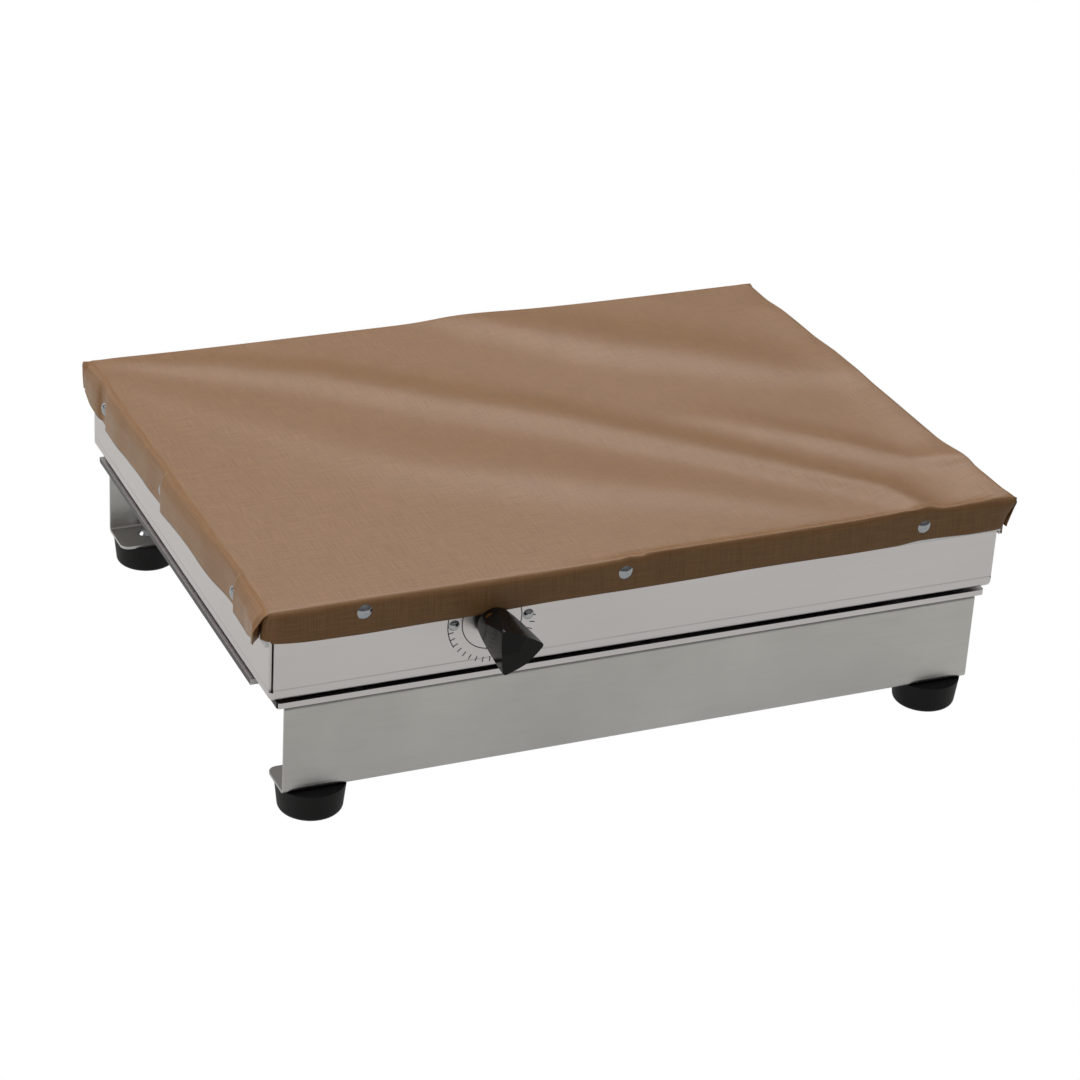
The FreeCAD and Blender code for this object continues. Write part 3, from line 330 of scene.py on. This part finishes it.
def dial_tree():
    # arcs swept with a flat strip, ticks set along an arc, and a small triangle as arrowhead
    tree = bpy.data.node_groups.new("dial_marks", "GeometryNodeTree")
    kinds = {**dict.fromkeys([*dial_sizes, *dial_angles], "NodeSocketFloat"),
             **dict.fromkeys(dial_counts, "NodeSocketInt"), "Ink": "NodeSocketMaterial"}
    ids = {name: tree.interface.new_socket(name, in_out="INPUT", socket_type=kind).identifier
           for name, kind in kinds.items()}
    tree.interface.new_socket("Geometry", in_out="OUTPUT", socket_type="NodeSocketGeometry")
    into = add_node(tree, "NodeGroupInput").outputs

    def arc(radius, name, points):
        return add_node(tree, "GeometryNodeCurveArc", {
            "Resolution": into[points], "Radius": radius,
            "Start Angle": maths(tree, "RADIANS", into[name + " Start"]),
            "Sweep Angle": maths(tree, "RADIANS", into[name + " Sweep"])}).outputs["Curve"]

    strip = add_node(tree, "GeometryNodeCurvePrimitiveQuadrilateral",
                     {"Width": into["Line Width"], "Height": into["Ink Thickness"]})
    pieces = [add_node(tree, "GeometryNodeCurveToMesh", {
        "Curve": arc(into[radius], name, "Arc Points"), "Profile Curve": strip.outputs[0],
        "Fill Caps": True})
        for radius, name in (("Inner Radius", "Ring"), ("Inner Radius", "Ring End"),
                             ("Outer Radius", "Rim"))]

    half_tick = maths(tree, "MULTIPLY", into["Tick Length"], 0.5)
    bar_size = add_node(tree, "ShaderNodeCombineXYZ", {
        "X": into["Line Width"], "Y": into["Tick Length"], "Z": into["Ink Thickness"]})
    bar = add_node(tree, "GeometryNodeMeshCube", {"Size": bar_size.outputs[0]})
    along = add_node(tree, "GeometryNodeInputTangent")
    turn = add_node(tree, "FunctionNodeAlignEulerToVector", {"Vector": along.outputs[0]},
                    axis="X", pivot_axis="Z")
    pieces.append(add_node(tree, "GeometryNodeInstanceOnPoints", {
        "Points": arc(maths(tree, "SUBTRACT", into["Outer Radius"], half_tick), "Tick", "Ticks"),
        "Instance": bar.outputs["Mesh"], "Rotation": turn.outputs[0]}))

    ring_end = maths(tree, "ADD", into["Ring Start"], into["Ring Sweep"])
    tip = maths(tree, "RADIANS", maths(tree, "ADD", ring_end, into["Arrow Lead"]))
    head_place = add_node(tree, "ShaderNodeCombineXYZ", {
        axis: maths(tree, "MULTIPLY", into["Inner Radius"], maths(tree, share, tip))
        for axis, share in (("X", "COSINE"), ("Y", "SINE"))})
    head = add_node(tree, "GeometryNodeMeshCylinder", {
        "Vertices": 3, "Radius": into["Arrow Size"], "Depth": into["Ink Thickness"]})
    pieces.append(add_node(tree, "GeometryNodeTransform", {
        "Geometry": head.outputs["Mesh"], "Translation": head_place.outputs[0]}))

    joined = add_node(tree, "GeometryNodeJoinGeometry")
    for piece in pieces:
        tree.links.new(piece.outputs[0], joined.inputs[0])
    real = add_node(tree, "GeometryNodeRealizeInstances", {0: joined.outputs[0]})
    inked = add_node(tree, "GeometryNodeSetMaterial",
                     {"Geometry": real.outputs[0], "Material": into["Ink"]})
    add_node(tree, "NodeGroupOutput", {0: inked.outputs[0]})
    return tree, ids


ink = textured("dial_ink", (0.018, 0.018, 0.02), 0, 0.5, 0.1, colour_spread=0.4, patch_scale=400.0)
marks_tree, marks_ids = dial_tree()
blank = place_in_scene("marks_blank", bpy.data.meshes.new("marks_blank"))
marks = blank.modifiers.new("marks", "NODES")
marks.node_group = marks_tree
for name, value in {**dial_sizes, **dial_angles, **dial_counts, "Ink": ink}.items():
    marks[marks_ids[name]] = value
printed = bpy.data.meshes.new_from_object(
    blank.evaluated_get(bpy.context.evaluated_depsgraph_get()))
bpy.data.objects.remove(blank)
spindle_low, spindle_high = (np.array(v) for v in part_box("thermostat_spindle"))
spindle_x, _, spindle_z = (spindle_low + spindle_high) / 2
wall_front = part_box("tray_housing")[0][1]
printed.transform(Matrix.Translation((spindle_x + dial_shift, wall_front - ink_lift, spindle_z))
                  @ Matrix.Rotation(math.pi / 2, 4, "X"))
dial = place_in_scene("dial_marks", printed)
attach(dial, "housing")

# Heating element and what lies with it inside the tray: sheathed tube, strip clamps,
# ceramic end beads, copper sensing bulb with its clip, and a board of pressed fibre.
sheath = textured("element_sheath", (0.24, 0.21, 0.19), 1, 0.5, 0.12, colour_spread=0.35,
                  patch_scale=35.0, bump=0.2)
dress(sheath, "heating_element")
strip_steel = textured("strip_steel", (0.45, 0.45, 0.44), 1, 0.4, 0.1, patch_scale=50.0)
dress(strip_steel, "element_clamp_left", "element_clamp_middle", "element_clamp_right",
      "bulb_clip")
bead = textured("bead_ceramic", (0.74, 0.71, 0.64), 0, 0.6, 0.1, patch_scale=120.0)
dress(bead, "element_end_insulators")
copper = textured("drawn_copper", (0.60, 0.30, 0.19), 1, 0.3, 0.1, patch_scale=80.0)
dress(copper, "sensing_bulb")
fibre = textured("pressed_fibre", (0.66, 0.60, 0.48), 0, 0.95, 0.04, colour_spread=0.2,
                 grain_scale=500.0, patch_scale=45.0, bump=0.7)
dress(fibre, "insulation_board")

# Wiring terminals and the cord gland in the rear wall: moulded plastic with a rubber seal.
block_plastic = textured("block_plastic", (0.72, 0.70, 0.63), 0, 0.5, 0.08, patch_scale=80.0)
dress(block_plastic, "terminal_block")
gland_plastic = textured("gland_plastic", (0.022, 0.022, 0.024), 0, 0.42, 0.1,
                         patch_scale=90.0, bump=0.15)
dress(gland_plastic, "gland_body", "gland_locknut", "gland_dome_nut")
seal_rubber = textured("seal_rubber", (0.02, 0.02, 0.02), 0, 0.7, 0.1, patch_scale=90.0)
dress(seal_rubber, "gland_seal")

# Cover cloth: one rectangle of brown coated glass cloth, laid over the heating plate, folded
# down on four sides and folded in at the corners like a parcel. Rivets through its hem hold
# it to the tray, so it lies in soft slanting ridges on top and stands off between the rivets.
# All its sizes are in millimetres, and plan places are measured from the middle of the plate.
cloth_thickness = 0.35
cloth_rise = 0.42
edge_inset = 3.0
bend_radius = 3.42
bend_run = bend_radius * math.pi / 2
corner_run = 17.6
fold_back = bend_run / 2
plate_low, plate_high = (np.array(v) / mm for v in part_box("heating_plate"))
plan_x = (plate_low[0] + plate_high[0]) / 2
plan_y = (plate_low[1] + plate_high[1]) / 2
half_x = plate_high[0] - plan_x - edge_inset
half_y = plate_high[1] - plan_y - edge_inset
cloth_level = plate_high[2] + cloth_rise
slack_run, slack_power = 9.0, 1.3
fade_x, fade_y = 4.0, 6.0
tiny = 1e-9


def eased(value, places, amounts):
    # smooth steps from one named amount to the next
    places, amounts = np.array(places, float), np.array(amounts, float)
    value = np.clip(value, places[0], places[-1])
    i = np.clip(np.searchsorted(places, value, side="right") - 1, 0, len(places) - 2)
    t = (value - places[i]) / (places[i + 1] - places[i])
    t = t * t * (3 - 2 * t)
    return amounts[i] * (1 - t) + amounts[i + 1] * t


# crest lines of the ridges on top: places from left to right, height and half width there;
# each ridge is steeper on its front left side than on its rear right side
ridges = [
    ([(-186, 143), (-140, 121), (-90, 91), (-40, 47), (8, 11), (58, -37), (107, -84), (144, -121),
      (152, -140), (155, -153)],
     [1.0, 2.2, 2.8, 3.0, 3.2, 3.0, 2.8, 2.8, 2.4, 1.6],
     [9, 13, 16, 17, 16, 14, 12, 10, 9, 8]),
    ([(-6, 168), (22, 142), (50, 116), (82, 86), (116, 66), (160, 32), (196, 14)],
     [1.0, 2.4, 3.4, 3.6, 3.4, 2.2, 1.0],
     [18, 18, 21, 23, 23, 21, 18]),
    ([(-196, 122), (-172, 88), (-148, 60), (-112, 16), (-80, -18), (-40, -44), (8, -76),
      (52, -98), (92, -128)],
     [0.6, 1.0, 1.4, 1.8, 2.2, 2.6, 2.6, 1.8, 0.6],
     [12, 16, 22, 26, 28, 26, 22, 18, 12]),
    ([(74, 2), (98, -16), (124, -42), (150, -68), (172, -92), (200, -106)],
     [0.2, 1.0, 1.8, 2.0, 1.8, 1.4],
     [10, 12, 11, 10, 8, 7]),
]
ridge_wide_side, ridge_steep_side = 1.35, 0.75


def ridge_height(x, y):
    # sum of the ridges over each point of the top
    total = np.zeros_like(x)
    for places, heights, widths in ridges:
        places = np.array(places, float)
        best = np.full(x.shape, np.inf)
        height = np.zeros_like(x)
        width = np.ones_like(x)
        for i in range(len(places) - 1):
            p, q = places[i], places[i + 1]
            run = q - p
            t = np.clip(((x - p[0]) * run[0] + (y - p[1]) * run[1]) / (run @ run), 0, 1)
            gap = np.hypot(x - p[0] - t * run[0], y - p[1] - t * run[1])
            behind = run[0] * (y - p[1]) - run[1] * (x - p[0]) > 0
            gap = gap / np.where(behind, ridge_wide_side, ridge_steep_side)
            near = gap < best
            best = np.where(near, gap, best)
            height = np.where(near, heights[i] * (1 - t) + heights[i + 1] * t, height)
            width = np.where(near, widths[i] * (1 - t) + widths[i + 1] * t, width)
        total += height * np.exp(-(best / width) ** 2)
    return total


# the flat sheet as a grid: even steps on the top, with extra rows beside the left side's rivets,
# where the cloth steps in sharply, and chosen steps over the edges; U and W are plan places
# before folding
over_steps = np.array([0.45, 0.9, 1.35, 1.8, 2.25, fold_back - 0.22, fold_back, fold_back + 0.22,
                       3.3, 4.0, 4.7, bend_run, 6.3, 7.4, 8.6, 9.8, 11.0, 12.3, 13.6, 14.9, 16.3,
                       corner_run])
extra_rows = np.array([8.2, 9.0, 9.8, 10.6, -109.6, -108.8, -108.0, -107.2, 122.0, 124.0])
top_x = np.linspace(-half_x, half_x, 111)
top_y = np.unique(np.concatenate([np.linspace(-half_y, half_y, 85), extra_rows]).round(3))
line_u = np.concatenate([-half_x - over_steps[::-1], top_x, half_x + over_steps])
line_w = np.concatenate([-half_y - over_steps[::-1], top_y, half_y + over_steps])
deep = len(over_steps)
count_u, count_w = len(line_u), len(line_w)
U, W = np.meshgrid(line_u, line_w)

# side is -1 past the left edge of the top and 1 past the right one, end is -1 past the front
# edge and 1 past the rear one, and a and b say how far past
side = np.sign(U) * (np.abs(U) > half_x + tiny)
end = np.sign(W) * (np.abs(W) > half_y + tiny)
a = np.clip(np.abs(U) - half_x, 0, None)
b = np.clip(np.abs(W) - half_y, 0, None)
flap_x = (side != 0) & (end == 0)
flap_y = (end != 0) & (side == 0)
corner = (side != 0) & (end != 0)

# hem: how much longer than at the corners the cloth hangs along each side
hem_left = eased(W, [-150, -128, -102, -70, -25, 10.7, 22, 50, 80, 117, 139, 152],
                 [-0.6, 4.3, 4.6, 6.4, 4.9, 6.8, 7.2, 6.2, 6.8, 7.4, 5.0, 0.8])
hem_right = eased(W, [-150, -128, -102, -60, -20, 14, 60, 95, 118, 140, 152],
                  [0, 2.5, 5.0, 2.6, 3.0, 6.0, 1.6, 2.8, 7.0, 5.0, 0.5])
hem_front = eased(U, [-203, -153, -110, -51, -16, 67, 137, 151, 197],
                  [0.9, 2.5, 1.6, 0.4, 0.8, -0.8, -0.3, -1.5, -1.1])
hem_rear = eased(U, [-203, -150, -100, 0, 75, 150, 200], [-0.6, 1.5, -0.4, 1.0, -0.8, 1.2, -0.5])

# how far the cloth stands off the rim between its rivets, along each side
off_left = eased(W, [-152.5, -141, -126, -113, -109.2, -107.4, -97, -50, -12, 8.0, 9.4, 20, 40, 71,
                     90, 110, 114, 122, 126, 135, 146, 152],
                 [6.0, 4.6, 3.0, 2.6, 2.6, 0.1, 0.1, 2.0, 2.9, 3.1, 0.1, 0.2, 1.2, 1.6,
                  2.4, 2.0, 0.1, 0.1, 1.8, 2.2, 1.9, 1.4])
off_right = eased(W, [-152.5, -140, -128, -107, -97, -60, -20, 9, 19, 60, 90, 113, 123, 138, 152],
                  [1.3, 1.6, 1.8, 0.1, 0.1, 1.6, 2.2, 0.1, 0.1, 1.8, 2.0, 0.1, 0.1, 1.6, 1.6])
off_front = eased(U, [-203, -185, -159, -148, -100, -50, -22, -10, 40, 100, 146, 159, 180, 204],
                  [0.3, 1.0, 0.05, 0.05, 0.9, 0.7, 0.05, 0.05, 1.0, 1.1, 0.05, 0.05, 1.0, 0.6])
off_rear = eased(U, [-203, -180, -156, -144, -75, -6, 6, 75, 144, 156, 180, 204],
                 [0.3, 0.9, 0.05, 0.05, 1.1, 0.05, 0.05, 1.1, 0.05, 0.05, 0.9, 0.4])


def hung(flap, run, hem):
    # the run over the edge, drawn out below the bend until the hem is as long as it should be
    hang = corner_run - bend_run
    return np.where(flap & (run > bend_run), bend_run + (run - bend_run) * (hang + hem) / hang, run)


def over_edge(run):
    # how far out and how far down a point lies after a run over the rounded edge
    turn = np.clip(run / bend_radius, 0, math.pi / 2)
    past = np.clip(run - bend_run, 0, None)
    return bend_radius * np.sin(turn), bend_radius * (1 - np.cos(turn)) + past


def slack(flap, run, stand_off):
    # the stand-off at a point, which grows from nothing at the top to all of it near the hem
    return np.where(flap, stand_off * np.clip(run / slack_run, 0, 1) ** slack_power, 0)


run_a = hung(flap_x, a, np.where(side < 0, hem_left, hem_right))
run_b = hung(flap_y, b, np.where(end < 0, hem_front, hem_rear))
out_a, down_a = over_edge(run_a)
out_b, down_b = over_edge(run_b)
X = np.clip(U, -half_x, half_x)
X = X + side * (out_a + slack(flap_x, run_a, np.where(side < 0, off_left, off_right)))
Y = np.clip(W, -half_y, half_y)
Y = Y + end * (out_b + slack(flap_y, run_b, np.where(end < 0, off_front, off_rear)))
fade = np.exp(-(a / fade_x) ** 2) * np.exp(-(b / fade_y) ** 2)
Z = cloth_level - np.where(end != 0, down_b, down_a) + ridge_height(U, W) * fade

# corners: the front and rear bands turn round the corner under the side flaps, and the
# spare square of cloth is folded back between them, which leaves an open mouth in front;
# at the front right the wrapped band hangs lower, as a tongue
wrap_gap = 0.05
tongue_length, tongue_start, tongue_ramp = 4.4, 0.5, 2.5
tongue_from_down, tongue_ramp_down = 9, 8
tuck_gap, tuck_gap_inside, tuck_gap_run = 0.9, 0.3, 0.5
flare_front_left, flare_rear_left, flare_front_right, flare_rear_right = 6.4, 1.4, 1.3, 1.6
flare_run, flare_start, flare_ramp, flare_power = 3.2, 2.5, 8.0, 1.4
layer_ramp = 3.0
wrapped = corner & (a <= b + tiny)
tucked = corner & (a > b + tiny)
turn = np.clip(a / bend_radius, 0, math.pi / 2)
past = np.clip(a - bend_run, 0, None)
tongue = np.where((side > 0) & (end < 0), tongue_length, 0.0)
tongue = tongue * np.clip((a - tongue_start) / tongue_ramp, 0, 1)
tongue = tongue * np.clip((b - tongue_from_down) / tongue_ramp_down, 0, 1)
X = np.where(wrapped, side * (half_x + out_b * np.sin(turn) + wrap_gap), X)
Y = np.where(wrapped, end * (half_y + out_b * np.cos(turn) - past), Y)
Z = np.where(wrapped, cloth_level - down_b - tongue, Z)

flare = np.where(side < 0, np.where(end < 0, flare_front_left, flare_rear_left),
                 np.where(end < 0, flare_front_right, flare_rear_right))
before_fold = b <= fold_back + tiny
inner = np.clip(b - fold_back, 0, None)
layer = np.where(before_fold, tuck_gap,
                 tuck_gap - (tuck_gap - tuck_gap_inside) * np.clip(inner / tuck_gap_run, 0, 1))
layer = layer + ((flare - tuck_gap) * np.exp(-(inner / flare_run) ** 2)
                 * np.clip((a - flare_start) / flare_ramp, 0, 1) ** flare_power)
layer = layer * np.clip(a / layer_ramp, 0, 1)
X = np.where(tucked, side * (half_x + out_a + layer), X)
Y = np.where(tucked, end * (half_y + np.where(before_fold, b, 2 * fold_back - b)), Y)
Z = np.where(tucked, cloth_level - down_a, Z)

# the edges of the top: a crease pressed up along the right half of the front fold, and a soft
# rim where the stiff cloth stands up along the right side
edge_depth = 5.0
crease_pull, rim_pull = 0.25, 0.55
below = np.clip(cloth_level - Z, 0, None)


def edge_band(past_edge, middle, inner_reach, outer_reach):
    # a band along an edge of the top: 1 along its middle, fading inwards, outwards and down
    reach = np.where(past_edge < middle, inner_reach, outer_reach)
    return np.exp(-((past_edge - middle) / reach) ** 2 - (below / edge_depth) ** 2)


crease = eased(X, [-60, -30, -18, -13, -9, -3, 6, 60, 112, 128, 141, 150, 157, 161, 168, 178, 188,
                   200],
               [0, 0.6, 1.2, 2.6, 1.0, 2.8, 3.0, 3.0, 3.6, 4.2, 4.8, 4.0, 3.2, 1.9, 2.5, 3.2, 2.0,
                0.2])
crease = crease * edge_band(-Y - half_y, 2.2, 3.0, 8.0)
rim = eased(Y, [-153, -146, -100, -72, 40, 72, 104, 132], [2.2, 4.0, 4.0, 2.5, 2.5, 1.5, 1.4, 0])
rim = rim * edge_band(X - half_x, 2.5, 16.0, 9.0)
Z = Z + crease + rim
Y = Y - crease_pull * crease
X = X + rim_pull * rim

# the corners: where each folded corner stands, how far its top and its hem are pulled sideways,
# how far the top is pulled to front or back, how much top and hem rise, over what distance
corner_depth = 15.0
corner_pulls = ((202.7, -150.3, 4.2, -2.4, -2.2, -0.6, 3.0, 3.0),
                (-202.7, -150.5, -1.2, -3.0, -0.4, 0.0, 2.2, 4.5),
                (-202.5, 152.5, -2.0, -1.0, 1.8, 0.3, 0.0, 4.0),
                (202.5, 152.5, 0.6, 0.4, 0.4, 0.2, 0.0, 4.0))
for ear_x, ear_y, out_top, out_low, out_y, rise_top, rise_low, spread in corner_pulls:
    ear = np.exp(-np.hypot(X - ear_x, Y - ear_y) / spread)
    height = np.clip((Z - cloth_level + corner_depth) / corner_depth, 0, 1)
    X = X + (out_top * height + out_low * (1 - height)) * ear
    Y = Y + out_y * height * ear
    Z = Z + (rise_top * height + rise_low * (1 - height)) * ear


def steps_out(i, count):
    # how many steps past the edge of the top a cell of the grid lies, or -1 for one on the top
    return deep - 1 - i if i < deep else max(i - (count - 1 - deep), -1)


# faces of the grid; a cell on a corner's diagonal is cut in two along the fold that runs there
points = np.stack([X + plan_x, Y + plan_y, Z], -1).reshape(-1, 3) * mm
faces = []
for j in range(count_w - 1):
    for i in range(count_u - 1):
        p = j * count_u + i
        quad = (p, p + 1, p + count_u + 1, p + count_u)
        on_fold = steps_out(i, count_u) == steps_out(j, count_w) >= 0
        if not on_fold:
            faces.append(quad)
        elif (i < deep) == (j < deep):
            faces += [(quad[0], quad[1], quad[2]), (quad[0], quad[2], quad[3])]
        else:
            faces += [(quad[0], quad[1], quad[3]), (quad[1], quad[2], quad[3])]
cloth_mesh = bpy.data.meshes.new("cloth")
cloth_mesh.from_pydata(points.tolist(), [], faces)
plan_map = cloth_mesh.uv_layers.new(name="cloth_plan")
flat_run = np.stack([np.sign(U) * (np.minimum(np.abs(U), half_x) + run_a),
                     np.sign(W) * (np.minimum(np.abs(W), half_y) + run_b)], -1).reshape(-1, 2) * mm
corner_of = np.zeros(len(cloth_mesh.loops), np.int32)
cloth_mesh.loops.foreach_get("vertex_index", corner_of)
plan_map.data.foreach_set("uv", flat_run[corner_of].astype(np.float32).ravel())
for face in cloth_mesh.polygons:
    face.use_smooth = True
cloth = place_in_scene("cloth", cloth_mesh)
thick = cloth.modifiers.new("thickness", "SOLIDIFY")
thick.thickness = cloth_thickness * mm
thick.offset = -1

# the cloth's look: a fine plain weave of uneven threads under a satin coating, in two browns,
# with soft clouds that tint it and change its gloss
cloth_dark, cloth_light = (0.236, 0.124, 0.056), (0.342, 0.187, 0.088)
cloud_tint = (0.90, 0.92, 0.90, 1)
gloss_low, gloss_high = 0.26, 0.36
along_thread, across_thread = 60, 1500
weave_scale, cloud_scale = 620, 22
weave_depth, weave_strength, slub_share = 0.12 * mm, 0.35, 0.5
cloth_paint, cloth_tree, cloth_surface = paint("coated_cloth", cloth_dark, 0, gloss_high, 0.18)
cloth_uv = add_node(cloth_tree, "ShaderNodeUVMap", uv_map="cloth_plan").outputs[0]


def threads(scale_x, scale_y):
    # uneven threads: noise drawn out along one direction of the weave
    drawn = add_node(cloth_tree, "ShaderNodeMapping",
                     {"Vector": cloth_uv, "Scale": (scale_x, scale_y, 1)})
    return add_node(cloth_tree, "ShaderNodeTexNoise",
                    {"Vector": drawn.outputs[0], "Scale": 1.0, "Detail": 3}).outputs["Fac"]


def weave_wave(direction):
    # the threads that cross one direction, as even slightly wavy bands
    return add_node(cloth_tree, "ShaderNodeTexWave",
                    {"Vector": cloth_uv, "Scale": weave_scale, "Distortion": 0.6, "Detail": 1},
                    bands_direction=direction).outputs["Fac"]


slubs = maths(cloth_tree, "ADD", threads(along_thread, across_thread),
              threads(across_thread, along_thread))
weave = maths(cloth_tree, "MULTIPLY", weave_wave("X"), weave_wave("Y"))
clouds = add_node(cloth_tree, "ShaderNodeTexNoise",
                  {"Vector": cloth_uv, "Scale": cloud_scale, "Detail": 3}).outputs["Fac"]
tone = add_node(cloth_tree, "ShaderNodeMapRange",
                {"Value": slubs, "From Min": 0.7, "From Max": 1.3})
cloth_brown = mixed_colour(cloth_tree, tone.outputs[0], (*cloth_dark, 1), (*cloth_light, 1))
cloth_tree.links.new(cloth_brown, cloth_surface.inputs["Base Color"])
darken(cloth_paint, clouds, cloud_tint)
relief = maths(cloth_tree, "ADD", weave, maths(cloth_tree, "MULTIPLY", slubs, slub_share))
weave_bump = add_node(cloth_tree, "ShaderNodeBump",
                      {"Strength": weave_strength, "Distance": weave_depth, "Height": relief})
cloth_tree.links.new(weave_bump.outputs[0], cloth_surface.inputs["Normal"])
gloss = add_node(cloth_tree, "ShaderNodeMapRange",
                 {"Value": clouds, "To Min": gloss_low, "To Max": gloss_high})
cloth_tree.links.new(gloss.outputs[0], cloth_surface.inputs["Roughness"])
cloth_mesh.materials.append(cloth_paint)
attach(cloth, "housing")
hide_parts("cover_cloth")

# Rivets: domed aluminium blind rivets through hem, rim and tray wall.
rivet_metal = textured("rivet_aluminium", (0.36, 0.38, 0.40), 1, 0.16, 0.06, grain_scale=1200.0,
                       patch_scale=200.0, bump=0.1)
dress(rivet_metal, "cover_rivets")
